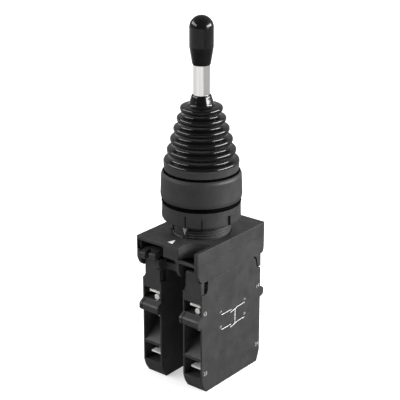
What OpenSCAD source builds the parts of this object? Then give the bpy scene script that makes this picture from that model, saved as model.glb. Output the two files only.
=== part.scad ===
// Panel joystick for a 22 mm hole: spring-return lever, threaded body, latch-on adapter, two contact blocks.
// Millimetres. Z = 0 is the underside of the gasket, where the panel's face lies; +Z points at the knob.
// -Y is the front (terminal side) and X runs across the contact blocks.

/* [Lever] */
// Diameter of the steel rod
rod_d = 6; // [4.5:0.1:6.4]
// Largest diameter of the knob
knob_d = 8.6; // [7.6:0.1:16]
// Height of the knob's top above the panel
knob_top = 66.9; // [60:0.5:90]
// Length of the knob
knob_length = 17.4; // [14:0.2:20]
// Distance from the pivot pin to each pusher's pin
arm_reach = 6.5; // [6.3:0.1:6.6]
// Height of the pivot pin above the panel
pivot_z = 5; // [4.8:0.1:5.4]

/* [Boot] */
// Crest diameter of the lowest bellows ring
boot_d = 27.2; // [26:0.1:28]
// Number of bellows rings
boot_rings = 6; // [4:1:6]
// Height of the lowest ring's crest above the panel
boot_ring_z = 14.6; // [14:0.1:16]
// Amount by which each ring's radius is smaller than the one below
boot_step = 1.2; // [1.1:0.05:1.35]
// Wall thickness of the boot
boot_wall = 0.9; // [0.6:0.1:1]

/* [Head and thread] */
// Diameter over the thread crests
thread_d = 21.8; // [21.4:0.1:22]
// Pitch of the thread
thread_pitch = 1; // [0.8:0.1:1.5]
// Largest diameter of the bezel
bezel_d = 29.6; // [29:0.1:32]
// Height of the bezel
bezel_h = 9.8; // [9.6:0.1:10.4]
// Thickness of the gasket
gasket_t = 1; // [0.8:0.1:1.1]
// Diameter of the panel nut
nut_d = 28.7; // [27:0.1:32]
// Height of the panel nut
nut_h = 6.85; // [5:0.05:9]
// Number of groups of wrench slots round the nut
nut_groups = 3; // [2:1:4]

/* [Adapter] */
// Width of the adapter, across the blocks
adapter_w = 28.5; // [28.4:0.1:29]
// Length of the adapter, front to back
adapter_l = 39.8; // [39:0.1:41]
// Depth of the adapter's top below the panel
adapter_depth = 12; // [11:0.1:14]
// Height of the upper moulding
cap_h = 4.9; // [4.6:0.1:5.4]
// Height of the side skirts below the upper moulding
skirt_h = 7; // [6.9:0.1:7.2]

/* [Contact blocks] */
// Width of one contact block
block_w = 8.75; // [8.6:0.05:8.8]
// Length of one contact block, front to back
block_l = 34.8; // [34:0.1:36]
// Height of one contact block below the skirts
block_h = 44.15; // [43:0.05:48]
// Thickness of the cover on the block's open side
cover_t = 1.3; // [1.1:0.05:1.35]
// Thickness of the outer walls
block_wall = 0.65; // [0.5:0.05:0.8]

/* [Hidden] */
$fn = 64;

// Colours
black = "#262627";
rubber = "#141415";
steel = "#c9ccd0";
nickel = "#d8d6cc";
copper = "#c98a4b";
grey = "#8d9092";

// Play between parts that slide or turn on each other, and a small overreach for cuts
play = 0.05;
cut = 0.1;

// Heights of the head
bezel_top = gasket_t + bezel_h;
lip_z = bezel_top - 0.6;
rim_z = lip_z - 0.8;
bezel_bore_r = bezel_d / 2 - 1.5;
lip_r = bezel_bore_r - 0.6;
cup_r = bezel_bore_r - 1.7;
neck_r = thread_d / 2 - 1.7;
cup_floor_z = pivot_z - 2.8;
pin_r = 1.5;
rod_seat_z = pivot_z + 2.5;
knob_bottom = knob_top - knob_length;

// Heights of the adapter
cap_top = -adapter_depth;
cap_bottom = cap_top - cap_h;
skirt_bottom = cap_bottom - skirt_h;
plate_top = cap_bottom - 1.9;
plate_t = 0.8;
plate_bottom = plate_top - plate_t;
skirt_t = 1.45;
skirt_in = adapter_w / 2 - skirt_t;
half_l = adapter_l / 2;
ring_r = thread_d / 2 + 1.8;
plate_front = -half_l + 4.9;
roof_t = 1.2;

// Pushers: pin travel at the end of the lever's tilt, and the plate that presses the contact carriers
pusher_x = arm_reach - 1.3;
neck_gap = 0.3;
pusher_r = neck_r - neck_gap - pusher_x;
pusher_bore_r = pusher_r - 0.8;
foot_top = plate_bottom - 1.7;
foot_t = 0.8;
foot_bottom = foot_top - foot_t;
spring_roof = -4;

// Contact blocks: x of each block's inner face, heights measured down from the block's top
block_top = skirt_bottom;
block_bottom = block_top - block_h;
block_half = block_l / 2;
right_x = adapter_w / 2 - block_w;
left_x = -adapter_w / 2 + 0.75;
roof_depth = 1.3;
upper_depth = 8.4;
upper_h = 4.5;
bar_depth = 13.1;
funnel_depth = 17.9;
funnel_h = 12.3;
lower_depth = 31.3;
lower_h = 6.9;
well_half = 6;
plate_metal_t = 0.8;
button_h = 0.5;
contact_gap = 1.65;
well_x = [cover_t, block_w - 1.35];
carrier_x = [cover_t + 0.3, block_w - 1.55];
mid_x = (carrier_x[0] + carrier_x[1]) / 2;
metal_x = [block_wall + 0.45, block_w - block_wall - 0.4];

// A prism with its outline in the Y-Z plane, between two values of x
module yz_prism(x0, x1, outline)
    translate([x0, 0, 0])
        rotate([90, 0, 90])
            linear_extrude(x1 - x0)
                polygon(outline);

// A box between two corners
module span(a, b)
    translate(a)
        cube(b - a);

// A part at the front and its mirror image at the back
module both_ends() {
    children();
    mirror([0, 1, 0])
        children();
}

// A ring between two radii and two heights
module ring(r_in, r_out, z0, z1)
    rotate_extrude()
        translate([r_in, z0])
            square([r_out - r_in, z1 - z0]);

// A sector of a ring, less than half of it, between two angles
module sector(r_in, r_out, z0, z1, a0, a1)
    intersection() {
        ring(r_in, r_out, z0, z1);
        translate([0, 0, z0])
            linear_extrude(z1 - z0)
                polygon([[0, 0], 3 * r_out * [cos(a0), sin(a0)], 3 * r_out * [cos((a0 + a1) / 2), sin((a0 + a1) / 2)],
                    3 * r_out * [cos(a1), sin(a1)]]);
    }

// A rectangle with round corners, all its arcs true
module round_rect(w, l, r) {
    square([w - 2 * r, l], center = true);
    square([w, l - 2 * r], center = true);
    for (sx = [-1, 1], sy = [-1, 1])
        translate([sx * (w / 2 - r), sy * (l / 2 - r)])
            circle(r);
}

// A round bar along Y between two values of y
module y_bar(x, z, r, y0, y1)
    translate([x, y1, z])
        rotate([90, 0, 0])
            cylinder(r = r, h = y1 - y0);

// A compression spring on the Z axis: coil radius, wire radius, lower and upper end, turns
module coil(coil_r, wire_r, z0, z1, turns) {
    steps = 14;
    sides = 6;
    rings = turns * steps;
    rise = (z1 - z0 - 2 * wire_r) / rings;
    points = [for (i = [0:rings], j = [0:sides - 1])
        let (a = i * 360 / steps, b = j * 360 / sides, r = coil_r + wire_r * cos(b))
            [r * cos(a), r * sin(a), z0 + wire_r + i * rise + wire_r * sin(b)]];
    walls = [for (i = [0:rings - 1], j = [0:sides - 1])
        [i * sides + j, (i + 1) * sides + j, (i + 1) * sides + (j + 1) % sides, i * sides + (j + 1) % sides]];
    first = [for (j = [0:sides - 1]) j];
    last = [for (j = [sides - 1:-1:0]) rings * sides + j];
    polyhedron(points, concat([first], walls, [last]));
}

// Bellows outline: crest radius and height of ring i, counted from the bottom
function crest_r(i) = boot_d / 2 - i * boot_step;
function crest_z(i) = boot_ring_z + i * 4.1 - i * i * 0.048;
function boot_outline() = concat(
    [[bezel_bore_r - 0.1, rim_z], [bezel_bore_r - 0.1, lip_z], [lip_r - 0.05, lip_z],
     [lip_r - 0.05, bezel_top + 1.1]],
    [[crest_r(0) - 0.4, bezel_top + 1.4], [crest_r(0), bezel_top + 1.9]],
    [for (i = [0:boot_rings - 1], p = ring_outline(i)) p],
    [[4.6, crest_z(boot_rings - 1) + 1.7], [rod_d / 2 + 1.15, crest_z(boot_rings - 1) + 2.9],
     [rod_d / 2 + 0.75, crest_z(boot_rings - 1) + 4.1], [rod_d / 2 + 0.35, crest_z(boot_rings - 1) + 4.9]]);
function ring_outline(i) = concat(
    i == 0 ? [] : [[crest_r(i) - 0.9, crest_z(i) - 1.3], [crest_r(i) - 0.15, crest_z(i) - 0.4]],
    [[crest_r(i), crest_z(i)], [crest_r(i) - 0.25, crest_z(i) + 0.55], [crest_r(i) - 0.9, crest_z(i) + 1.2]]);

module boot() color(rubber) {
    outer = boot_outline();
    bore_r = rod_d / 2 + 0.03;
    inner = [for (i = [len(outer) - 1:-1:3])
        [max(bore_r, outer[i][0] - boot_wall), outer[i][1] - (i > 3 ? boot_wall / 2 : 0)]];
    rotate_extrude()
        polygon(concat(outer, [[bore_r, outer[len(outer) - 1][1]]], inner, [[cup_r, lip_z], [cup_r, rim_z]]));
}

module knob() color(black)
    difference() {
        rotate_extrude()
            knob_outline();
        translate([0, 0, knob_bottom - cut])
            cylinder(d = rod_d, h = knob_length - 7 + cut);
    }

// Half outline of the knob: flared neck, straight grip and domed end
module knob_outline() {
    dome_z = knob_top - knob_d / 2 + 0.3;
    polygon([[0, knob_bottom], [rod_d / 2 + 0.1, knob_bottom], [rod_d / 2 + 0.35, knob_bottom + 0.6],
        [knob_d / 2 - 0.25, knob_bottom + 4.8], [knob_d / 2, knob_bottom + 6.4], [knob_d / 2, dome_z], [0, dome_z]]);
    translate([0, dome_z - 0.3])
        intersection() {
            circle(knob_d / 2);
            translate([0, 0.3])
                square(knob_d);
        }
}

module lever_rod() color(steel)
    translate([0, 0, rod_seat_z])
        cylinder(d = rod_d, h = knob_top - 7 - rod_seat_z);

// Rocker: hub on the pivot pin, socket for the rod and a cross pin at the end of each arm
module rocker() color(grey)
    difference() {
        union() {
            y_bar(0, pivot_z, 4.2, -5, 5);
            translate([0, 0, pivot_z])
                cylinder(r = rod_d / 2 + 1.4, h = 7.5);
            for (side = [-1, 1]) {
                span([min(0, side * arm_reach), -1.8, pivot_z - 1.3], [max(0, side * arm_reach), 1.8, pivot_z + 1.3]);
                y_bar(side * arm_reach, pivot_z, 1.3, -1.8, 1.8);
                y_bar(side * arm_reach, pivot_z, 1.1, -3.5, 3.5);
            }
        }
        y_bar(0, pivot_z, pin_r + play, -6, 6);
        translate([0, 0, rod_seat_z])
            cylinder(d = rod_d, h = 6);
    }

module pivot_pin() color(steel)
    y_bar(0, pivot_z, pin_r, -bezel_bore_r + 0.3, bezel_bore_r - 0.3);

// Bezel: turned ring with a lip that holds the boot's foot
module bezel() color(black)
    rotate_extrude()
        polygon([[bezel_bore_r, gasket_t], [bezel_d / 2 - 0.3, gasket_t], [bezel_d / 2 - 0.15, gasket_t + 0.4],
            [bezel_d / 2, gasket_t + 1.3], [bezel_d / 2 - 0.3, bezel_top - 1.1], [bezel_d / 2 - 0.55, bezel_top - 0.4],
            [bezel_d / 2 - 1, bezel_top], [lip_r, bezel_top], [lip_r, lip_z], [bezel_bore_r, lip_z]]);

module gasket() color(rubber)
    ring(thread_d / 2 + play, thread_d / 2 + 3, 0, gasket_t);

// Threaded body: neck with thread crests, cup for the pivot, flat with a boss and bayonet pockets
module operator_body() color(black) {
    crests = floor((adapter_depth + 2) / thread_pitch);
    crest_r = thread_d / 2;
    root_r = crest_r - 0.5;
    bottom = plate_top;
    difference() {
        union() {
            rotate_extrude()
                polygon(concat([[neck_r, bottom], [crest_r, bottom], [crest_r, -(crests + 0.5) * thread_pitch]],
                    [for (i = [crests:-1:1], p = [[root_r, -i * thread_pitch], [crest_r, -(i - 0.5) * thread_pitch]]) p],
                    [[crest_r, gasket_t], [bezel_bore_r, gasket_t], [bezel_bore_r, rim_z], [cup_r, rim_z],
                     [cup_r, cup_floor_z], [neck_r, cup_floor_z]]));
        }
        y_bar(0, pivot_z, pin_r, -bezel_bore_r - cut, bezel_bore_r + cut);
        // relief in the thread at the front, to the left of the boss
        sector(crest_r - 1, crest_r + 1, cap_top, -nut_h + 2, -135, -90);
        // bayonet pockets, open at the bottom
        for (turn = [0, 180])
            rotate([0, 0, turn])
                sector(neck_r + 0.85, crest_r + cut, bottom - cut, bottom + 2.2, -26, 26);
    }
    // smooth boss that carries the key arrow
    sector(root_r - 0.2, crest_r + play, cap_top, -nut_h - 0.2, -90, -78);
}

// Panel nut with one wide and two narrow slots in each group: angle, width and height of the slot's top
nut_slots = [[-8, 1.4, -2.9], [-74.8, 0.45, -2.3], [-50.6, 0.45, -3]];
module panel_nut() color(black) {
    r = nut_d / 2;
    difference() {
        rotate_extrude()
            polygon([[thread_d / 2 + play, -nut_h], [r - 0.6, -nut_h], [r - 0.2, -nut_h + 0.2], [r, -nut_h + 0.7],
                [r - 0.1, -0.2], [r - 0.3, 0], [thread_d / 2 + play, 0]]);
        for (i = [0:nut_groups - 1], slot = nut_slots)
            rotate([0, 0, i * 360 / nut_groups + slot[0]])
                span([r - 0.9, -slot[1] / 2, -nut_h - cut], [r + 1, slot[1] / 2, slot[2]]);
    }
}

// Pusher: spring cup, two ears that hold the rocker's pin, and two legs on a foot plate
module pusher() color(grey) {
    ear_in = 2.4;
    ear_out = 3.4;
    leg_in = 2.9;
    leg_out = 3.7;
    difference() {
        union() {
            translate([pusher_x, 0, cap_top - 1])
                cylinder(r = pusher_r, h = -1.5 - cap_top);
            for (side = [-1, 1])
                difference() {
                    span([arm_reach - 1.5, min(side * ear_in, side * ear_out), -3],
                        [arm_reach + 1.5, max(side * ear_in, side * ear_out), pivot_z + 1.7]);
                    // kept clear of the neck's bore
                    ring(neck_r - neck_gap, neck_r + 4, -4, cup_floor_z + 1.8);
                }
        }
        translate([pusher_x, 0, cap_top - 1 - cut])
            cylinder(r = pusher_bore_r, h = 1 + spring_roof - cap_top + cut);
        // eyes, longer than wide so that the pin can shift as the arm swings
        for (shift = [-0.3, 0.1])
            y_bar(arm_reach + shift, pivot_z, 1.16, -4, 4);
        span([arm_reach - 0.3, -4, pivot_z - 1.16], [arm_reach + 0.1, 4, pivot_z + 1.16]);
    }
    for (side = [-1, 1])
        span([pusher_x - 1.3, min(side * leg_in, side * leg_out), foot_top - cut],
            [pusher_x + 2, max(side * leg_in, side * leg_out), cap_top]);
    span([pusher_x - 1.3, -leg_out, foot_bottom], [right_x + block_w / 2 + 1.9, leg_out, foot_top]);
}
module pusher_right() pusher();
module pusher_left() mirror([1, 0, 0]) pusher();

module pusher_spring() color(steel)
    translate([pusher_x, 0, 0])
        coil(pusher_bore_r - 0.6, 0.35, plate_top, spring_roof, 7);
module pusher_spring_right() pusher_spring();
module pusher_spring_left() mirror([1, 0, 0]) pusher_spring();

// Upper moulding: top plate, walls, collar round the neck, front window and round corner recess
recess_c = [adapter_w / 2 - 1.75, -half_l + 2.4];
recess_r = 7.3;
window_x = [-adapter_w / 2 + 0.4, -1.4];
module adapter_cap() color(black)
    difference() {
        translate([0, 0, cap_bottom])
            linear_extrude(cap_h)
                round_rect(adapter_w, adapter_l, 0.8);
        difference() {
            span([-skirt_in, -half_l + 1.2, cap_bottom - cut], [skirt_in, half_l - 1.2, cap_top - roof_t]);
            ring(0, thread_d / 2 + 1.5, cap_bottom - 1, cap_top);
            translate([recess_c[0], recess_c[1], cap_bottom - 1])
                cylinder(r = recess_r + 1.2, h = cap_h + 1);
        }
        translate([0, 0, cap_bottom - cut])
            cylinder(r = thread_d / 2 + 0.1, h = cap_h + 2 * cut);
        // round recess in the front right corner, stopped by the skirt's wall
        intersection() {
            translate([recess_c[0], recess_c[1], cap_bottom - cut])
                cylinder(r = recess_r, h = cap_h + 2 * cut);
            span([0, -half_l - 1, cap_bottom - 1], [skirt_in, 0, cap_top + 1]);
        }
        span([window_x[0], -half_l - 1, cap_bottom - cut], [window_x[1], -half_l + 1.2 + cut, cap_top - roof_t]);
    }

// Side outlines of the skirts and of the dividers: tapered to the front, rounded at the back
back_outline = [
    [half_l - 2.6, skirt_bottom], [half_l - 1.4, skirt_bottom + 0.2], [half_l - 0.9, skirt_bottom + 0.6],
    [half_l, cap_bottom - 2.8], [half_l, cap_bottom]];
skirt_outline = concat([
    [-half_l, cap_bottom], [-half_l, cap_bottom - 2.3], [-half_l + 0.45, cap_bottom - 3.55],
    [-half_l + 0.95, cap_bottom - 4.6], [-half_l + 1.6, skirt_bottom + 1.1], [-half_l + 2.4, skirt_bottom + 0.25],
    [-half_l + 3.2, skirt_bottom]], back_outline);
divider_outline = concat([
    [-half_l + 0.5, cap_bottom], [-half_l + 0.5, cap_bottom - 3.7], [-half_l + 1.35, skirt_bottom + 1.1],
    [-half_l + 2.4, skirt_bottom + 0.15], [-half_l + 3.2, skirt_bottom]], back_outline);
divider_out = right_x - 0.15;
divider_in = divider_out - 1.35;

// Lower moulding: skirts, dividers, cross walls and ribs, back wall and the rail of the corner recess
module adapter_frame() color(black)
    difference() {
        union() {
            intersection() {
                union() {
                    for (x = [-adapter_w / 2, skirt_in])
                        yz_prism(x, x + skirt_t, skirt_outline);
                    span([-adapter_w / 2, half_l - 1.2, plate_bottom - 0.8], [adapter_w / 2, half_l, cap_bottom]);
                }
                translate([0, 0, skirt_bottom - 1])
                    linear_extrude(skirt_h + 2)
                        round_rect(adapter_w, adapter_l, 0.8);
            }
            divider(divider_in, cap_bottom);
            divider(-divider_out, plate_top - 0.2);
            // cross walls of the middle place, each with an arched lower edge
            difference() {
                both_ends()
                    span([-divider_in - cut, plate_front - 0.6, skirt_bottom],
                        [divider_in + cut, plate_front + 0.4, plate_bottom - 1.1]);
                y_bar(0, skirt_bottom + 0.5 - 4 * divider_in, 4 * divider_in, -half_l, half_l);
            }
            for (y = [-11.5, 10.5])
                span([-skirt_in - cut, y, plate_bottom - 1.7], [skirt_in + cut, y + 1, plate_bottom]);
            for (x = [-skirt_in, skirt_in - 0.8])
                span([x, -14, plate_bottom - 0.8], [x + 0.8, half_l - 1, plate_bottom]);
            // rail across the front of the recess, with a lip that follows the recess
            span([divider_in, -half_l, cap_bottom - 0.6], [skirt_in + cut, -half_l + 1, cap_bottom]);
            intersection() {
                translate([recess_c[0], recess_c[1], cap_bottom - 0.6])
                    cylinder(r = recess_r - play, h = 1.1);
                span([divider_in, -half_l, cap_bottom - 1], [skirt_in - play, -half_l + 1, cap_top]);
            }
        }
        // room for the lock ring
        ring(0, ring_r + play, plate_top, cap_bottom);
        // way for the pushers' foot plates
        span([-skirt_in + 1, -4.3, skirt_bottom - cut], [skirt_in - 1, 4.3, plate_bottom + cut]);
    }

// Divider between two blocks' places: low under the guide plate, higher at its front end
module divider(x, front_top)
    intersection() {
        yz_prism(x, x + divider_out - divider_in, divider_outline);
        union() {
            span([x - 1, -adapter_l, skirt_bottom - 1], [x + 3, adapter_l, plate_bottom]);
            span([x - 1, -adapter_l, skirt_bottom - 1], [x + 3, -half_l + 2.5, front_top]);
        }
    }

// Guide plate under the neck, with slots for the pushers' legs
module guide_plate() color(black)
    difference() {
        span([-skirt_in, plate_front, plate_bottom], [skirt_in, half_l - 1.2, plate_top]);
        for (side = [-1, 1], y = [-3.85, 2.75])
            span([side > 0 ? pusher_x - 1.5 : -pusher_x - 2.2, y, plate_bottom - cut],
                [side > 0 ? pusher_x + 2.2 : -pusher_x + 1.5, y + 1.1, plate_top + cut]);
    }

// Lock ring: turns round the neck, its two lugs in the bayonet pockets, its fork in the front window
fork_at = [-7.1, -half_l - 2.1];
module lock_ring() color(black) {
    bottom = plate_top + play;
    top = cap_bottom - play;
    fork_top = cap_bottom + 0.65;
    ring(thread_d / 2 + 0.15, ring_r, bottom, top);
    for (turn = [0, 180])
        rotate([0, 0, turn])
            sector(neck_r + 0.95, thread_d / 2 + 0.5, bottom, top, -14, 14);
    difference() {
        span([-10.8, -16.6, bottom], [-5.8, -6, top]);
        cylinder(r = thread_d / 2 + 0.5, h = 100, center = true);
    }
    translate([fork_at[0], fork_at[1], 0])
        rotate([0, 0, 12])
            intersection() {
                translate([0, 0, bottom])
                    linear_extrude(fork_top - bottom)
                        polygon([[-3.2, 0], [-0.87, 0], [-0.87, 3.85], [0.65, 3.85], [0.65, 0], [3.2, 0], [3.2, 6.6],
                            [-1.9, 6.6], [-3.2, 4.4]]);
                yz_prism(-4, 4, [[0, bottom], [0, fork_top - 0.35], [0.35, fork_top], [7, fork_top], [7, bottom]]);
            }
}

// Contact block: outline from the side of the case or, with set-back corners, of the cover
nose = [[0, 0], [1.8, 1.1], [2.2, 1.7], [2.2, 3.4], [1.8, 4.1], [0, 4.6]];
function block_outline(set_back) = concat(
    set_back ? [[-block_half + 1.8, block_top], [-block_half + 1.8, block_top - 3.6],
        [-block_half + 1.2, block_top - 4.5], [-block_half, block_top - 5]] : [[-block_half, block_top]],
    [for (p = nose) [-block_half - p[0], block_top - bar_depth - p[1]]],
    [[-block_half, block_bottom + 5.6], [-block_half + 0.4, block_bottom + 4.2],
     [-block_half + 0.95, block_bottom + 2.6], [-block_half + 2.6, block_bottom],
     [block_half - 1.6, block_bottom], [block_half, block_bottom + 4.4]],
    [for (i = [5:-1:0]) [block_half + nose[i][0], block_top - bar_depth - nose[i][1]]],
    set_back ? [[block_half, block_top - 5], [block_half - 1.2, block_top - 4.5],
        [block_half - 1.8, block_top - 3.6], [block_half - 1.8, block_top]] : [[block_half, block_top]]);

// Screw direction at the front: up and inwards at the ramp's slope
ramp_angle = 40;
module along_ramp(y, z)
    translate([block_w / 2, y, z])
        rotate([ramp_angle - 90, 0, 0])
            children();

// Everything cut out of a block: windows, funnels, roof, carrier well, contact and screw ways
module block_cavities() {
    low = block_wall;
    high = block_w - block_wall;
    out = -block_half - 3;
    both_ends() {
        span([low, out, block_top - upper_depth - upper_h], [high, -9, block_top - upper_depth]);
        yz_prism(low, high, [[out, block_top - funnel_depth], [-block_half + 8, block_top - funnel_depth - 0.6],
            [-block_half + 8, block_top - funnel_depth - 5.4], [-block_half - 0.1, block_top - funnel_depth - funnel_h],
            [out, block_top - funnel_depth - funnel_h]]);
        span([low, out, block_top - lower_depth - lower_h], [high, -9.5, block_top - lower_depth]);
        for (depth = [upper_depth, lower_depth])
            span([mid_x - 1.5, -10, block_top - depth - plate_metal_t], [mid_x + 1.5, -5.9, block_top - depth]);
        along_ramp(-11.5, block_top - 20.1)
            translate([0, 0, -3])
                cylinder(r = 2.6, h = 3);
        along_ramp(-11.5, block_top - 20.1)
            cylinder(r = 1.25, h = 4.8);
        along_ramp(-11, block_top - 36.4)
            translate([0, 0, -1.6])
                cylinder(r = 2.3, h = 1.6);
        along_ramp(-11, block_top - 36.4)
            cylinder(r = 1.25, h = 3.4);
    }
    span([low, -block_half + 2.4, block_top - roof_depth], [high, block_half - 2.4, block_top + cut]);
    span([carrier_x[0] - play, -2.3, block_top - 2.5], [carrier_x[1] + play, 2.3, block_top - roof_depth + cut]);
    span([well_x[0], -well_half, block_bottom + 3.7], [well_x[1], well_half, block_top - 2.4]);
}

// The slice of a block between two values of x
module block_slice(x0, x1, set_back)
    yz_prism(x0, x1, block_outline(set_back));

// End panels that reach up between the skirts and the dividers
module end_panels()
    both_ends() {
        y0 = -block_half;
        y1 = -block_half + 1.2;
        span([1.4, y0, block_top - 1], [block_w - 1.65, y1, block_top + 2.5]);
        span([2.2, y0, block_top - 1], [block_w - 2.45, y1, block_top + 3.3]);
        for (x = [2.2, block_w - 2.45])
            y_bar(x, block_top + 2.5, 0.8, y0, y1);
    }

// Latch slots in the case's outer side: the front one parts a finger from the wall
module latch_slots() {
    x0 = block_w - skirt_t;
    x1 = block_w + cut;
    front = -block_half;
    yz_prism(x0, x1, [[front + 1.3, block_top + cut], [front + 3.6, block_top + cut], [front + 3.3, block_top - 3.4],
        [front + 2.7, block_top - 4.8], [front + 1.2, block_top - 5.1], [front + 0.8, block_top - 4.75],
        [front - 1, block_top - 4.75], [front - 1, block_top - 4.4], [front + 1.3, block_top - 4.4]]);
    back = block_half;
    yz_prism(x1 - 0.9, x1, [[back - 4.7, block_top + cut], [back - 3.8, block_top + cut], [back - 2.4, block_top - 1.1],
        [back - 1.6, block_top - 4.7], [back + 1, block_top - 5], [back + 1, block_top - 5.6],
        [back - 2.2, block_top - 5.3], [back - 3.1, block_top - 1.4]]);
}

module case(x0) color(black)
    translate([x0, 0, 0])
        difference() {
            union() {
                block_slice(cover_t, block_w, false);
                end_panels();
                span([block_w - skirt_t, -block_half - 0.5, block_top - 4.4],
                    [block_w, -block_half + 1.3, block_top]);
            }
            block_cavities();
            latch_slots();
        }

module cover(x0) color(black)
    translate([x0, 0, 0])
        difference() {
            block_slice(0, cover_t, true);
            block_cavities();
        }

// Contact carrier: stem with a window for each moving bridge
module carrier(x0) color(grey)
    translate([x0, 0, 0])
        difference() {
            span([carrier_x[0], -2.2, block_top - 34.6], [carrier_x[1], 2.2, foot_bottom]);
            for (seat = [upper_depth, lower_depth])
                span([mid_x - 1.7, -3, bridge_seat(seat)], [mid_x + 1.7, 3, bridge_seat(seat) + 3.15]);
        }

// Underside of the moving bridge above the fixed contact at a depth
function bridge_seat(depth) = block_top - depth + button_h + contact_gap + 0.4;

module bridge(x0, depth) color(copper)
    translate([x0, 0, bridge_seat(depth)]) {
        span([mid_x - 1.5, -4.6, 0], [mid_x + 1.5, 4.6, 0.8]);
        for (y = [-3.6, 3.6])
            translate([mid_x, y, -0.4])
                cylinder(r = 0.9, h = 0.4);
    }

module contact_springs(x0) color(steel)
    for (depth = [upper_depth, lower_depth])
        translate([x0 + mid_x, 0, 0])
            coil(1.1, 0.2, bridge_seat(depth) + 0.8, bridge_seat(depth) + 3.15, 3);

module return_spring(x0) color(steel)
    translate([x0 + mid_x, 0, 0])
        coil(1.6, 0.3, block_bottom + 3.7, block_top - 34.6, 5);

module fixed_contacts(x0) color(nickel)
    translate([x0, 0, 0])
        for (depth = [upper_depth, lower_depth])
            both_ends() {
                span([metal_x[0], -block_half + 2.6, block_top - depth - plate_metal_t],
                    [metal_x[1], -9.5, block_top - depth]);
                span([mid_x - 1.5, -9.6, block_top - depth - plate_metal_t],
                    [mid_x + 1.5, -2.5, block_top - depth]);
                translate([mid_x, -3.6, block_top - depth])
                    cylinder(r = 0.9, h = button_h);
            }

// Wire clamps: above, a plate over a round bar; below, a plate that hangs from a leg
module wire_clamps(x0) color(nickel)
    translate([x0, 0, 0])
        both_ends() {
            plate_z = block_top - upper_depth - plate_metal_t - 1;
            bar_z = block_top - upper_depth - upper_h + 1.1;
            span([2.6, -16.5, plate_z], [7.6, -10, plate_z + 0.9]);
            y_bar(5.9, bar_z, 1.1, -16.4, -10);
            span([5.4, -12, bar_z], [6.4, -10, plate_z + cut]);
            low_z = block_top - lower_depth - plate_metal_t - 2.75;
            span([3.1, -16.5, low_z], [7.7, -14, low_z + 0.65]);
            span([7, -15, low_z], [7.7, -14, block_top - lower_depth - plate_metal_t]);
        }

module terminal_screws(x0) color(nickel)
    translate([x0, 0, 0])
        both_ends() {
            along_ramp(-11.5, block_top - 20.1)
                slot_screw(2.5, 4.8);
            along_ramp(-11, block_top - 36.4)
                slot_screw(2.3, 3.4);
        }

// Slotted cheese-head screw, its head below the origin and its shank above
module slot_screw(head_r, length)
    difference() {
        union() {
            translate([0, 0, -1.6])
                cylinder(r = head_r, h = 1.6);
            cylinder(r = 1.25, h = length);
        }
        span([-head_r - 1, -0.35, -1.6 - cut], [head_r + 1, 0.35, -0.8]);
    }

module case_right() case(right_x);
module cover_right() cover(right_x);
module carrier_right() carrier(right_x);
module bridge_upper_right() bridge(right_x, upper_depth);
module bridge_lower_right() bridge(right_x, lower_depth);
module contact_springs_right() contact_springs(right_x);
module return_spring_right() return_spring(right_x);
module fixed_contacts_right() fixed_contacts(right_x);
module wire_clamps_right() wire_clamps(right_x);
module terminal_screws_right() terminal_screws(right_x);
module case_left() case(left_x);
module cover_left() cover(left_x);
module carrier_left() carrier(left_x);
module bridge_upper_left() bridge(left_x, upper_depth);
module bridge_lower_left() bridge(left_x, lower_depth);
module contact_springs_left() contact_springs(left_x);
module return_spring_left() return_spring(left_x);
module fixed_contacts_left() fixed_contacts(left_x);
module wire_clamps_left() wire_clamps(left_x);
module terminal_screws_left() terminal_screws(left_x);

knob();
lever_rod();
rocker();
pivot_pin();
boot();
bezel();
gasket();
operator_body();
panel_nut();
pusher_right();
pusher_left();
pusher_spring_right();
pusher_spring_left();
adapter_cap();
adapter_frame();
guide_plate();
lock_ring();
case_right();
cover_right();
carrier_right();
bridge_upper_right();
bridge_lower_right();
contact_springs_right();
return_spring_right();
fixed_contacts_right();
wire_clamps_right();
terminal_screws_right();
case_left();
cover_left();
carrier_left();
bridge_upper_left();
bridge_lower_left();
contact_springs_left();
return_spring_left();
fixed_contacts_left();
wire_clamps_left();
terminal_screws_left();
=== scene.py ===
import math

import bpy
import bmesh
from bpy.props import FloatProperty, FloatVectorProperty, IntProperty, PointerProperty
from bpy.types import Operator, Panel, PropertyGroup
from mathutils import Matrix, Vector


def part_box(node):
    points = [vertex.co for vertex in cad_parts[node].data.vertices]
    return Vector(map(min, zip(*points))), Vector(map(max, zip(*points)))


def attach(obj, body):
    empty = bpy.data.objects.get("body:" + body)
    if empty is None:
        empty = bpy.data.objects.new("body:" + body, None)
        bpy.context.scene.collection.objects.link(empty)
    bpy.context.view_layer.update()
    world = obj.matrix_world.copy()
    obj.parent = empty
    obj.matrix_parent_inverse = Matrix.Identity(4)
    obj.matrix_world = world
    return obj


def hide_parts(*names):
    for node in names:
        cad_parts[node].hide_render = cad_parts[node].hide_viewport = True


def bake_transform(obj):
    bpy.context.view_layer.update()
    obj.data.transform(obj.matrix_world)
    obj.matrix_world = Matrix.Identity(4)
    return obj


bl_info = {
    "name": "Panel joystick",
    "version": (1, 0, 0),
    "blender": (4, 5, 0),
    "location": "View3D > Sidebar > Joystick",
    "description": "Dresses a panel joystick: boot, gasket, springs, prints, finishes and studio",
    "category": "Object",
}

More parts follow.
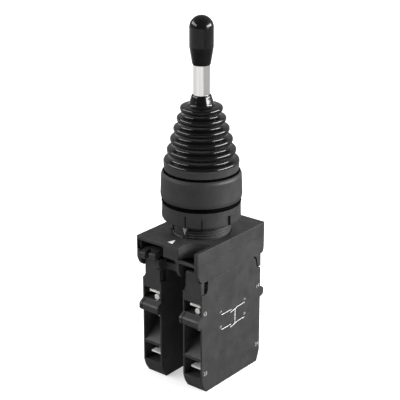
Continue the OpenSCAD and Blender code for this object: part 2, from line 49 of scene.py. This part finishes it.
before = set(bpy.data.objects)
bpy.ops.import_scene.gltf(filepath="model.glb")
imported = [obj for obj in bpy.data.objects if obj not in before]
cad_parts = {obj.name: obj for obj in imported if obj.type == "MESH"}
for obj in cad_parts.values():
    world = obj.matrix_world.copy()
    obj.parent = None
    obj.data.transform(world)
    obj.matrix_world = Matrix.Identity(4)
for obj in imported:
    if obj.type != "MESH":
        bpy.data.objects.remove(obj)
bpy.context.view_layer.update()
MM = 0.001
BASE = "base"
LEVER = "lever"
LABEL_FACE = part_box("case_right")[1].x
FLOOR_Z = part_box("case_right")[0].z
CAP_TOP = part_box("adapter_cap")[1].z
SEAM_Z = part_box("adapter_cap")[0].z
BEZEL_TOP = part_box("bezel")[1].z
ROD_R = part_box("lever_rod")[1].x
KNOB_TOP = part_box("knob")[1].z
KNOB_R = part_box("knob")[1].x
NECK_R = 10.95 * MM

# boot, in millimetres: from one ring to the next, the radius falls by RING_STEP and the rise by PITCH_LOSS
RINGS = 6
RING_STEP = 1.2
RING_PITCH = 4.1
PITCH_LOSS = 0.048
FIRST_RING = 14.6
BOOT_WALL = 0.8
FOOT_BORE_R = 11.7
CURVE_STEPS = 5

# heights above the bezel at which the boot's finish changes: below the first, the flange and groove are
# painted black as shade of the gap at the bezel; below the second, the foot is matt
FLANGE_H = 0.82 * MM
FOOT_H = 3.6 * MM

# seam round the knob's dome
DOME_H = 4.02 * MM
SEAM_HALF = 0.1 * MM
SEAM_RISE = 0.04 * MM
SEAM_ROOT = 0.05 * MM

# dark line between case and cover, across the bumps of a block: painted shade of the slit between them
SPLIT_HALF = 0.16 * MM
BUMP_REACH = 2.2 * MM

# deep blacks of the gasket, which also paint shade in the boot's flange groove and on the blocks' split
# lines, and of the painted shadow in a seam
GASKET_AND_SHADE_BLACK = (0.001, 0.001, 0.001)
SEAM_BLACK = (0.004, 0.004, 0.004)

# camera, lamps and floor: degrees round from the front and up, and metres
VIEW_AZIMUTH = 38.92
VIEW_ELEVATION = 21.01
AIM = Vector((-0.2207, -0.5554, -0.7689)) * MM
LENS = 112.2
LAMP_DISTANCE = 0.6
LAMP_HEIGHT = 0.15
FLOOR_HALF = 1.5


def colour_property(name, description, default):
    return FloatVectorProperty(name=name, description=description, default=default, size=3, min=0,
                               max=1, subtype="COLOR")


def length_property(name, description, default):
    return FloatProperty(name=name, description=description, default=default, min=0, precision=5,
                         subtype="DISTANCE", unit="LENGTH")


class JoystickColours(PropertyGroup):
    """Colours of the finishes"""
    plastic: colour_property("Black plastic", "Adapter, blocks and the boot's foot", (0.030, 0.030, 0.031))
    head: colour_property("Head plastic", "Bezel, threaded body and nut", (0.024, 0.024, 0.024))
    grip: colour_property("Knob", "Moulded plastic of the knob", (0.006, 0.006, 0.006))
    rubber: colour_property("Rubber", "Glossy rubber of the boot", (0.0035, 0.0035, 0.0035))
    grey: colour_property("Grey plastic", "Inner moving parts", (0.22, 0.23, 0.24))
    steel: colour_property("Steel", "Lever rod, pivot pin and springs", (0.86, 0.85, 0.83))
    nickel: colour_property("Nickel", "Terminal plates, clamps and screws", (0.96, 0.95, 0.93))
    copper: colour_property("Copper", "Moving contact bridges", (0.72, 0.42, 0.24))
    print_white: colour_property("Print", "Terminal numbers, diagram and index mark", (0.80, 0.80, 0.79))


class JoystickSizes(PropertyGroup):
    """Sizes of the pieces made here, and the camera's distance"""
    print_height: length_property("Number height", "Height of the terminal numbers", 2.1 * MM)
    print_line: length_property("Diagram line", "Width of the diagram's lines", 0.21 * MM)
    print_gap: length_property("Print thickness", "Thickness of the printed ink", 0.02 * MM)
    segments: IntProperty(name="Segments", description="Segments round the turned pieces", default=160,
                          min=24)
    camera_distance: length_property("Camera distance", "Distance from the object to the camera", 0.45)


# ---------- mesh helpers ----------

def add_mesh(name, vertices, faces, material, smooth=True):
    mesh = bpy.data.meshes.new(name)
    mesh.from_pydata(vertices, [], faces)
    mesh.validate()
    mesh.update()
    if smooth:
        mesh.polygons.foreach_set("use_smooth", [True] * len(mesh.polygons))
    mesh.materials.append(material)
    piece = bpy.data.objects.new(name, mesh)
    bpy.context.collection.objects.link(piece)
    return piece


def revolve(name, outline, segments, material):
    """A closed turned shape on the Z axis from (radius, height) points."""
    vertices = []
    faces = []
    count = len(outline)
    for i in range(segments):
        angle = 2 * math.pi * i / segments
        for radius, height in outline:
            vertices.append((radius * math.cos(angle), radius * math.sin(angle), height))
    for i in range(segments):
        for j in range(count):
            a = i * count + j
            b = i * count + (j + 1) % count
            c = (i + 1) % segments * count + (j + 1) % count
            d = (i + 1) % segments * count + j
            faces.append((d, c, b, a))
    piece = add_mesh(name, vertices, faces, material)
    mesh = bmesh.new()
    mesh.from_mesh(piece.data)
    bmesh.ops.remove_doubles(mesh, verts=mesh.verts, dist=1e-7)
    bmesh.ops.recalc_face_normals(mesh, faces=mesh.faces)
    mesh.to_mesh(piece.data)
    mesh.free()
    return piece


def smooth_curve(points, steps):
    """Catmull-Rom curve through the points, with a number of steps between each pair."""
    result = []
    last = len(points) - 1
    for i in range(last):
        p0, p1, p2, p3 = points[max(i - 1, 0)], points[i], points[i + 1], points[min(i + 2, last)]
        for k in range(steps):
            t = k / steps
            result.append(tuple(
                0.5 * (2 * p1[n] + (p2[n] - p0[n]) * t
                       + (2 * p0[n] - 5 * p1[n] + 4 * p2[n] - p3[n]) * t * t
                       + (3 * p1[n] - p0[n] - 3 * p2[n] + p3[n]) * t ** 3) for n in (0, 1)))
    result.append(points[last])
    return result


# ---------- material helpers ----------

def new_material(name):
    material = bpy.data.materials.new(name)
    material.use_nodes = True
    return material, material.node_tree.nodes, material.node_tree.links


def surface_of(nodes):
    return nodes["Principled BSDF"]


def add_node(nodes, kind, **values):
    """A new shader node with some inputs set; an underscore in a name stands for a space."""
    node = nodes.new(f"ShaderNode{kind}")
    for name, value in values.items():
        node.inputs[name.replace("_", " ")].default_value = value
    return node


def add_noise(nodes, links, place, scale, detail):
    """Noise over the places that a socket gives."""
    noise = add_node(nodes, "TexNoise", Scale=scale, Detail=detail)
    links.new(place, noise.inputs["Vector"])
    return noise.outputs["Fac"]


def add_range(nodes, links, value, near, far, low, high, target):
    """Carries a value from near..far over to low..high, and on to the target socket."""
    spread = add_node(nodes, "MapRange", From_Min=near, From_Max=far, To_Min=low, To_Max=high)
    links.new(value, spread.inputs["Value"])
    links.new(spread.outputs["Result"], target)
    return spread


def add_bump(nodes, links, height, strength, distance):
    bump = add_node(nodes, "Bump", Strength=strength, Distance=distance)
    links.new(height, bump.inputs["Height"])
    links.new(bump.outputs["Normal"], surface_of(nodes).inputs["Normal"])
    return bump


def add_shades(nodes, links, value, dark, light, low=0.3, high=0.7):
    """Colours the surface from dark to light by a value."""
    ramp = add_node(nodes, "ValToRGB")
    for element, position, colour in zip(ramp.color_ramp.elements, (low, high), (dark, light)):
        element.position = position
        element.color = [*colour, 1]
    links.new(value, ramp.inputs["Fac"])
    links.new(ramp.outputs["Color"], surface_of(nodes).inputs["Base Color"])


def tint(nodes, links, place, colour, scale, amount):
    """Faint lighter and darker patches of one colour."""
    patches = add_noise(nodes, links, place, scale, detail=5)
    add_shades(nodes, links, patches, [c * (1 - amount) for c in colour],
               [c * (1 + amount) for c in colour])


def mottle(nodes, links, place, scale, smoothest, roughest):
    """Slow variation of the roughness."""
    patches = add_noise(nodes, links, place, scale, detail=3)
    add_range(nodes, links, patches, 0.3, 0.7, smoothest, roughest, surface_of(nodes).inputs["Roughness"])


def add_grain(nodes, links, place, scale, strength, distance, edge):
    """Rounded edges from a bevel, with a fine noise bump over them."""
    bevel = add_node(nodes, "Bevel", Radius=edge)
    bevel.samples = 4
    bump = add_bump(nodes, links, add_noise(nodes, links, place, scale, detail=4), strength, distance)
    links.new(bevel.outputs["Normal"], bump.inputs["Normal"])


def moulded_plastic(name, colour, roughness, grain=5200, strength=0.25, shine=0.36, edge=0.16 * MM):
    material, nodes, links = new_material(name)
    place = add_node(nodes, "TexCoord").outputs["Object"]
    add_grain(nodes, links, place, grain, strength, distance=0.02 * MM, edge=edge)
    tint(nodes, links, place, colour, scale=190, amount=0.16)
    mottle(nodes, links, place, scale=330, smoothest=roughness - 0.08, roughest=roughness + 0.1)
    surface_of(nodes).inputs["Specular IOR Level"].default_value = shine
    return material


def glossy_rubber(name, colour):
    material, nodes, links = new_material(name)
    place = add_node(nodes, "TexCoord").outputs["Object"]
    add_grain(nodes, links, place, scale=900, strength=0.05, distance=0.03 * MM, edge=0.05 * MM)
    tint(nodes, links, place, colour, scale=220, amount=0.12)
    mottle(nodes, links, place, scale=300, smoothest=0.14, roughest=0.2)
    surface_of(nodes).inputs["Specular IOR Level"].default_value = 0.4
    return material


def polished_metal(name, colour, roughness, brush, metallic=1):
    """Metal with fine drawn lines along Z, and painted reflection bands along Z in its colour."""
    material, nodes, links = new_material(name)
    surface_of(nodes).inputs["Metallic"].default_value = metallic
    stretch = add_node(nodes, "Mapping", Scale=(1, 1, 0.02))
    links.new(add_node(nodes, "TexCoord").outputs["Object"], stretch.inputs["Vector"])
    lines = add_noise(nodes, links, stretch.outputs["Vector"], brush, detail=4)
    add_range(nodes, links, lines, 0, 1, roughness - 0.06, roughness + 0.08,
              surface_of(nodes).inputs["Roughness"])
    add_bump(nodes, links, lines, strength=0.15, distance=0.01 * MM)
    # painted reflection: darker bands along Z in the colour stand in for the banded mirror image on
    # polished metal
    painted_reflection_bands = add_noise(nodes, links, stretch.outputs["Vector"], brush * 0.3, detail=3)
    add_shades(nodes, links, painted_reflection_bands, [c * 0.72 for c in colour], colour, low=0.32, high=0.62)
    return material


def ink(name, colour):
    material, nodes, links = new_material(name)
    tint(nodes, links, add_node(nodes, "TexCoord").outputs["Object"], colour, scale=1500, amount=0.12)
    surface_of(nodes).inputs["Roughness"].default_value = 0.6


def finish(name):
    return bpy.data.materials[name]


def dress(node, material):
    """Gives a CAD node its finish."""
    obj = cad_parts[node]
    obj.data.materials.clear()
    obj.data.materials.append(material)


# ---------- operators ----------

class JOYSTICK_OT_finishes(Operator):
    """Make the finishes and give each CAD node its own"""
    bl_idname = "joystick.finishes"
    bl_label = "Finishes"

    def execute(self, context):
        colours = context.scene.joystick_colours
        made = {
            "body": moulded_plastic("Body plastic", colours.plastic, 0.46, edge=0.32 * MM),
            "head": moulded_plastic("Head plastic", colours.head, 0.50),
            "block": moulded_plastic("Block plastic", colours.plastic, 0.46, edge=0.26 * MM),
            "knob": moulded_plastic("Knob plastic", colours.grip, 0.15, grain=3000, strength=0.05,
                                    shine=0.25),
            "grey": moulded_plastic("Inner plastic", colours.grey, 0.5),
            "rubber": glossy_rubber("Boot rubber", colours.rubber),
            # the gasket's black rubber; this material also paints shade in the boot's flange groove and on
            # the blocks' split lines
            "gasket": moulded_plastic("Gasket rubber and painted shade", GASKET_AND_SHADE_BLACK, 0.75, shine=0.02),
            "foot": moulded_plastic("Boot foot rubber", colours.plastic, 0.5),
            "steel": polished_metal("Polished steel", colours.steel, 0.15, brush=1600),
            "spring": polished_metal("Spring steel", colours.steel, 0.35, brush=900),
            "nickel": polished_metal("Nickel plate", colours.nickel, 0.28, brush=1200, metallic=0.35),
            "copper": polished_metal("Contact copper", colours.copper, 0.35, brush=1200),
        }
        ink("White ink", colours.print_white)
        ink("Grey ink", [c * 0.5 for c in colours.print_white])
        # painted shade: a near-black for the line along the seam between the adapter's cap and frame
        ink("Seam shadow", SEAM_BLACK)
        finish_of = {
            "knob": "knob", "lever_rod": "steel", "pivot_pin": "steel", "rocker": "grey", "boot": "rubber",
            "gasket": "gasket", "bezel": "head", "operator_body": "head", "panel_nut": "head",
            "adapter_cap": "body", "adapter_frame": "body", "guide_plate": "body", "lock_ring": "body",
        }
        starts = (("pusher_spring", "spring"), ("pusher", "grey"), ("contact_springs", "spring"),
                  ("return_spring", "spring"), ("carrier", "grey"), ("bridge", "copper"), ("case", "block"),
                  ("cover", "block"), ("fixed_contacts", "nickel"), ("wire_clamps", "nickel"),
                  ("terminal_screws", "nickel"))
        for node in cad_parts:
            key = finish_of.get(node) or next(name for start, name in starts if node.startswith(start))
            dress(node, made[key])
        return {"FINISHED"}


def ring_height(i):
    """Height of a ring of the boot in millimetres; the lowest ring is 0."""
    return FIRST_RING + i * RING_PITCH - i * i * PITCH_LOSS


def boot_outline():
    """Outer outline of the bellows from the foot up, then the inner wall back down, in metres."""
    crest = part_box("boot")[1].x / MM
    rim = BEZEL_TOP / MM
    rod = ROD_R / MM
    # a thin flange in the bezel's mouth, the groove above it, and the foot up to the lowest ring
    points = [(12.62, rim - 0.3), (12.7, rim + 0.02), (crest + 0.12, rim + 0.02), (crest + 0.1, rim + 0.1),
              (crest - 0.28, rim + 0.16), (crest - 0.3, rim + 0.75), (crest - 0.16, rim + 0.95),
              (crest - 0.12, rim + 2), (crest, rim + 3.2)]
    for i in range(RINGS):
        r = crest - i * RING_STEP
        z = ring_height(i)
        if i:
            points += [(r - 0.95, z - 1.3), (r - 0.35, z - 1.05), (r - 0.03, z - 0.5)]
        points += [(r + 0.02, z + 0.1), (r - 0.22, z + 0.62), (r - 0.8, z + 0.9), (r - 1.55, z + 1.02)]
        if i < RINGS - 1:
            points += [(r - 2.1, z + 1.45), (r - 2.2, z + 2.2)]
    # the collar that grips the rod
    top = ring_height(RINGS - 1)
    points += [(rod + 2.1, top + 1.12), (rod + 1.5, top + 1.5), (rod + 1.2, top + 2.4),
               (rod + 0.85, top + 3.5), (rod + 0.55, top + 4.5), (rod + 0.28, top + 4.85)]
    outer = smooth_curve(points, CURVE_STEPS)
    bore = rod + 0.03
    collar_top = top + 4.8
    inner = [(max(bore, r - BOOT_WALL), min(z - 0.3, collar_top)) for r, z in reversed(points[3:])]
    outline = outer + [(bore, collar_top)] + inner + [(FOOT_BORE_R, rim - 0.3)]
    return [(r * MM, z * MM) for r, z in outline]


class JOYSTICK_OT_boot(Operator):
    """Turn the pleated rubber boot and mark the knob's seam"""
    bl_idname = "joystick.boot"
    bl_label = "Boot"

    def execute(self, context):
        segments = context.scene.joystick_sizes.segments
        boot = revolve("boot_skin", boot_outline(), segments, finish("Boot rubber"))
        boot.data.materials.append(finish("Boot foot rubber"))
        boot.data.materials.append(finish("Gasket rubber and painted shade"))
        # flange and groove painted black as shade of the gap at the bezel, then the matt foot, then the
        # glossy rings
        for face in boot.data.polygons:
            height = face.center.z - BEZEL_TOP
            face.material_index = 2 if height < FLANGE_H else int(height < FOOT_H)
        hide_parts("boot")
        seam_z = KNOB_TOP - DOME_H
        outline = [(KNOB_R - SEAM_ROOT, seam_z - SEAM_HALF), (KNOB_R + SEAM_RISE, seam_z),
                   (KNOB_R - SEAM_ROOT, seam_z + SEAM_HALF)]
        seam = revolve("knob_seam", outline, segments, finish("Knob plastic"))
        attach(seam, LEVER)
        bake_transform(boot)
        return {"FINISHED"}


class JOYSTICK_OT_springs(Operator):
    """Put coils of their own in place of the pusher springs and the return springs"""
    bl_idname = "joystick.springs"
    bl_label = "Springs"

    def execute(self, context):
        for side in ("right", "left"):
            for spring in ("pusher_spring", "return_spring"):
                node = f"{spring}_{side}"
                coil = bpy.data.objects.new(f"{node}_coil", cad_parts[node].data.copy())
                context.collection.objects.link(coil)
                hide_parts(node)
                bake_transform(coil)
        return {"FINISHED"}


class JOYSTICK_OT_gasket(Operator):
    """Turn the gasket, squeezed out in a lip over the nut's edge"""
    bl_idname = "joystick.gasket"
    bl_label = "Gasket"

    def execute(self, context):
        outline = [(11, 0.02), (14.06, 0.02), (14.29, -0.2), (14.3, -0.58), (14.4, -0.6), (14.46, -0.3),
                   (14.4, 0.2), (14.2, 0.6), (14.1, 0.98), (11, 0.98)]
        gasket = revolve("gasket_skin", [(r * MM, z * MM) for r, z in outline],
                         context.scene.joystick_sizes.segments, finish("Gasket rubber and painted shade"))
        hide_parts("gasket")
        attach(gasket, BASE)
        return {"FINISHED"}


class JOYSTICK_OT_marks(Operator):
    """Print the index triangle and the pointer on the neck, and draw the blocks' split lines as painted
    shade
    """
    bl_idname = "joystick.marks"
    bl_label = "Index marks"

    def execute(self, context):
        gap = context.scene.joystick_sizes.print_gap
        self.add_index(gap)
        self.add_split_lines(gap)
        self.add_pointer(gap)
        return {"FINISHED"}

    def add_index(self, gap):
        triangle = ((-1.46, -17.3), (1.14, -17.8), (-0.35, -14.3))
        corners = [(x * MM, y * MM, CAP_TOP + gap) for x, y in triangle]
        index = add_mesh("index_triangle", corners, [(0, 1, 2)], finish("White ink"), smooth=False)
        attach(index, BASE)

    def add_split_lines(self, gap):
        # how far the bump stands out, and how high, from its upper edge to its lower one
        bump = ((0, -37), (1.8, -38.1), (2.2, -38.7), (2.2, -40.4), (1.8, -41.1), (0, -41.6))
        faces = [(2 * i, 2 * i + 1, 2 * i + 3, 2 * i + 2) for i in range(len(bump) - 1)]
        for block in ("right", "left"):
            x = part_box(f"cover_{block}")[1].x
            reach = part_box(f"case_{block}")[1].y - BUMP_REACH + gap
            for side, way in (("front", -1), ("back", 1)):
                # each split line is painted shade: a black strip where the slit between case and cover lies
                corners = [(x + across * SPLIT_HALF, way * (reach + out * MM), z * MM)
                           for out, z in bump for across in (-1, 1)]
                line = add_mesh(f"split_line_{block}_{side}", corners, faces, finish("Gasket rubber and painted shade"),
                                smooth=False)
                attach(line, BASE)

    def add_pointer(self, gap):
        """A small triangle bent round the neck: seven points along its top and one at its tip."""
        radius = NECK_R + gap
        rim = [(0.25 + 0.3 * i, -8.2) for i in range(7)]
        tip = (1.0, -10.6)
        corners = [(x * MM, -math.sqrt(radius ** 2 - (x * MM) ** 2), z * MM) for x, z in rim + [tip]]
        faces = [(i, len(rim), i + 1) for i in range(len(rim) - 1)]
        arrow = add_mesh("key_arrow", corners, faces, finish("Grey ink"), smooth=False)
        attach(arrow, BASE)


def face_point(y, z, lift):
    """A point on the label side of the right-hand block, in metres from millimetres."""
    return Vector((LABEL_FACE + lift, y * MM, z * MM))


def ribbon(name, start, end, width, lift, material):
    """A flat line on the label side, for the printed diagram and for the painted shade along the seam."""
    a = face_point(*start, lift)
    b = face_point(*end, lift)
    across = (b - a).cross(Vector((1, 0, 0))).normalized() * width / 2
    piece = add_mesh(name, [a - across, b - across, b + across, a + across], [(0, 1, 2, 3)], material,
                     smooth=False)
    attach(piece, BASE)


class JOYSTICK_OT_block_print(Operator):
    """Print the terminal numbers and the contact diagram on the right-hand block"""
    bl_idname = "joystick.block_print"
    bl_label = "Block print"

    def execute(self, context):
        sizes = context.scene.joystick_sizes
        self.add_numbers(sizes)
        self.add_diagram(sizes.print_line, sizes.print_gap)
        # painted shade along the seam where the adapter's cap meets its frame
        ribbon("seam", (-19.2, SEAM_Z / MM), (19.2, SEAM_Z / MM), 0.14 * MM, sizes.print_gap,
               finish("Seam shadow"))
        return {"FINISHED"}

    def add_numbers(self, sizes):
        # turns flat text to stand on the label side
        upright = Matrix(((0, 0, 1, 0), (1, 0, 0, 0), (0, 1, 0, 0), (0, 0, 0, 1)))
        # text, place across and up, and share of the full height: by the terminals, then in the diagram
        numbers = (("13", -15.6, -36.3, 1), ("23", -15.3, -60.4, 1), ("14", 15.8, -36.6, 1),
                   ("24", 15.8, -60.8, 1), ("13", -6.6, -38.9, 0.6), ("14", 7.6, -39.0, 0.6),
                   ("23", -6.5, -44.9, 0.6), ("24", 7.7, -44.9, 0.6))
        for i, (text, y, z, share) in enumerate(numbers):
            curve = bpy.data.curves.new(f"terminal_number_{i}", "FONT")
            curve.body = text
            curve.size = sizes.print_height * share
            curve.align_x = "CENTER"
            curve.align_y = "CENTER"
            curve.materials.append(finish("Grey ink"))
            number = bpy.data.objects.new(curve.name, curve)
            bpy.context.collection.objects.link(number)
            number.matrix_world = Matrix.Translation(face_point(y, z, sizes.print_gap)) @ upright
            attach(number, BASE)

    def add_diagram(self, width, gap):
        """Two make contacts, one above the other, and the double line that links their arms."""
        white = finish("White ink")
        for level, z in (("1", -40.2), ("2", -46.15)):
            ribbon(f"diagram_front_{level}", (-6, z), (-0.35, z), width, gap, white)
            ribbon(f"diagram_arm_{level}", (-0.7, z - 1.1), (3.6, z - 0.2), width, gap, white)
            ribbon(f"diagram_back_{level}", (3.5, z - 0.2), (7.85, z - 0.1), width, gap, white)
        for line, y in (("a", 1.85), ("b", 2.2)):
            ribbon(f"diagram_link_{line}", (y, -40.9), (y, -46.5), width * 0.5, gap, white)


def towards(azimuth, elevation):
    """Unit vector from the object to a place, by its degrees round from the front and its degrees up."""
    a = math.radians(azimuth)
    e = math.radians(elevation)
    return Vector((math.sin(a) * math.cos(e), -math.cos(a) * math.cos(e), math.sin(e)))


def place_looking(obj, back, location):
    """Puts a camera or lamp in its place, looking against the direction back."""
    obj.location = location
    obj.rotation_mode = "QUATERNION"
    obj.rotation_quaternion = (-back).to_track_quat("-Z", "Y")
    bpy.context.collection.objects.link(obj)


class JOYSTICK_OT_stage(Operator):
    """Lay the floor, set the lamps and the surroundings, and place the camera"""
    bl_idname = "joystick.stage"
    bl_label = "Studio"

    def execute(self, context):
        self.add_camera(context.scene)
        self.add_floor()
        self.add_world(context.scene)
        self.add_lamp("left_box", azimuth=-48, elevation=30, width=0.72, power=3.6)
        self.add_lamp("right_box", azimuth=119, elevation=20, width=0.6, power=8.4)
        context.scene.view_settings.view_transform = "Standard"
        return {"FINISHED"}

    def add_camera(self, scene):
        camera = bpy.data.cameras.new("Camera")
        camera.sensor_width = 36
        camera.lens = LENS
        camera.clip_start = 0.01
        eye = bpy.data.objects.new("Camera", camera)
        back = towards(VIEW_AZIMUTH, VIEW_ELEVATION)
        place_looking(eye, back, AIM + back * scene.joystick_sizes.camera_distance)
        scene.camera = eye

    def add_floor(self):
        """A floor that is white to the camera and keeps the object's shadow."""
        material, nodes, links = new_material("White floor")
        surface = surface_of(nodes)
        surface.inputs["Base Color"].default_value = (0.82, 0.82, 0.82, 1)
        surface.inputs["Roughness"].default_value = 0.9
        surface.inputs["Specular IOR Level"].default_value = 0.1
        away = add_node(nodes, "VectorMath")
        away.operation = "LENGTH"
        right = add_node(nodes, "VectorMath")
        right.operation = "DOT_PRODUCT"
        right.inputs[1].default_value = (0.777, 0.629, 0)
        place = add_node(nodes, "NewGeometry").outputs["Position"]
        links.new(place, away.inputs[0])
        links.new(place, right.inputs[0])
        glow = add_node(nodes, "Emission")
        mirrored = add_node(nodes, "Emission")
        product = add_node(nodes, "Math")
        product.operation = "MULTIPLY"
        links.new(product.outputs["Value"], mirrored.inputs["Strength"])
        # to glossy rays the floor shows a painted reflection: a glow that is dark near by, as painted shade
        # of the object's shadow, pale further out and dimmer on the right; to the camera, it grows to full
        # white with distance
        for source, near, far, low, high, target in (
                (away, 0.22, 0.34, 0.17, 0.95, product.inputs[0]),
                (right, 0.14, 0.22, 1, 0.5, product.inputs[1]),
                (away, 0.2, 0.6, 0.5, 1, glow.inputs["Strength"])):
            reach = add_range(nodes, links, source.outputs["Value"], near, far, low, high, target)
            reach.interpolation_type = "SMOOTHSTEP"
        ray = add_node(nodes, "LightPath")
        dark = add_node(nodes, "Emission", Strength=0)
        seen = add_node(nodes, "MixShader")
        links.new(ray.outputs["Is Camera Ray"], seen.inputs["Fac"])
        links.new(dark.outputs["Emission"], seen.inputs[1])
        links.new(glow.outputs["Emission"], seen.inputs[2])
        lit = add_node(nodes, "AddShader")
        links.new(surface.outputs["BSDF"], lit.inputs[0])
        links.new(seen.outputs["Shader"], lit.inputs[1])
        shown = add_node(nodes, "MixShader")
        links.new(ray.outputs["Is Glossy Ray"], shown.inputs["Fac"])
        links.new(lit.outputs["Shader"], shown.inputs[1])
        links.new(mirrored.outputs["Emission"], shown.inputs[2])
        links.new(shown.outputs["Shader"], nodes["Material Output"].inputs["Surface"])
        square = ((-1, -1), (1, -1), (1, 1), (-1, 1))
        corners = [(x * FLOOR_HALF, y * FLOOR_HALF, FLOOR_Z) for x, y in square]
        floor = add_mesh("floor", corners, [(0, 1, 2, 3)], material, smooth=False)

    def add_world(self, scene):
        """Surroundings that are white to the camera, and light the object softly from behind."""
        world = bpy.data.worlds.new("Studio")
        scene.world = world
        world.use_nodes = True
        nodes, links = world.node_tree.nodes, world.node_tree.links
        light = nodes["Background"]
        light.inputs["Color"].default_value = (1, 1, 1, 1)
        # a pale backdrop behind the object and a dim room in front of it
        facing = add_node(nodes, "VectorMath")
        facing.operation = "DOT_PRODUCT"
        facing.inputs[1].default_value = (0.63, -0.777, 0)
        links.new(add_node(nodes, "TexCoord").outputs["Generated"], facing.inputs[0])
        spread = add_range(nodes, links, facing.outputs["Value"], -0.25, 0.5, 0.4, 0.1,
                           light.inputs["Strength"])
        spread.interpolation_type = "SMOOTHSTEP"
        backdrop = add_node(nodes, "Background", Color=(1, 1, 1, 1), Strength=1)
        mix = add_node(nodes, "MixShader")
        links.new(add_node(nodes, "LightPath").outputs["Is Camera Ray"], mix.inputs["Fac"])
        links.new(light.outputs["Background"], mix.inputs[1])
        links.new(backdrop.outputs["Background"], mix.inputs[2])
        links.new(mix.outputs["Shader"], nodes["World Output"].inputs["Surface"])

    def add_lamp(self, name, azimuth, elevation, width, power):
        """A wide, low soft box that looks at the object."""
        lamp = bpy.data.lights.new(name, "AREA")
        lamp.shape = "RECTANGLE"
        lamp.size = width
        lamp.size_y = LAMP_HEIGHT
        lamp.energy = power
        back = towards(azimuth, elevation)
        place_looking(bpy.data.objects.new(name, lamp), back, back * LAMP_DISTANCE)


class JOYSTICK_PT_panel(Panel):
    """Joystick steps in the sidebar"""
    bl_label = "Panel joystick"
    bl_idname = "JOYSTICK_PT_panel"
    bl_space_type = "VIEW_3D"
    bl_region_type = "UI"
    bl_category = "Joystick"

    def draw(self, context):
        layout = self.layout
        for operator in OPERATORS:
            layout.operator(operator.bl_idname)
        for group in (context.scene.joystick_colours, context.scene.joystick_sizes):
            for name in group.__annotations__:
                layout.prop(group, name)


OPERATORS = (JOYSTICK_OT_finishes, JOYSTICK_OT_boot, JOYSTICK_OT_springs, JOYSTICK_OT_gasket,
             JOYSTICK_OT_marks, JOYSTICK_OT_block_print, JOYSTICK_OT_stage)
CLASSES = (JoystickColours, JoystickSizes) + OPERATORS + (JOYSTICK_PT_panel,)


def register():
    for cls in CLASSES:
        bpy.utils.register_class(cls)
    bpy.types.Scene.joystick_colours = PointerProperty(type=JoystickColours)
    bpy.types.Scene.joystick_sizes = PointerProperty(type=JoystickSizes)


def unregister():
    del bpy.types.Scene.joystick_sizes
    del bpy.types.Scene.joystick_colours
    for cls in reversed(CLASSES):
        bpy.utils.unregister_class(cls)


def main():
    register()
    bpy.ops.joystick.finishes()
    bpy.ops.joystick.boot()
    bpy.ops.joystick.springs()
    bpy.ops.joystick.gasket()
    bpy.ops.joystick.marks()
    bpy.ops.joystick.block_print()
    bpy.ops.joystick.stage()


if __name__ == "__main__":
    main()
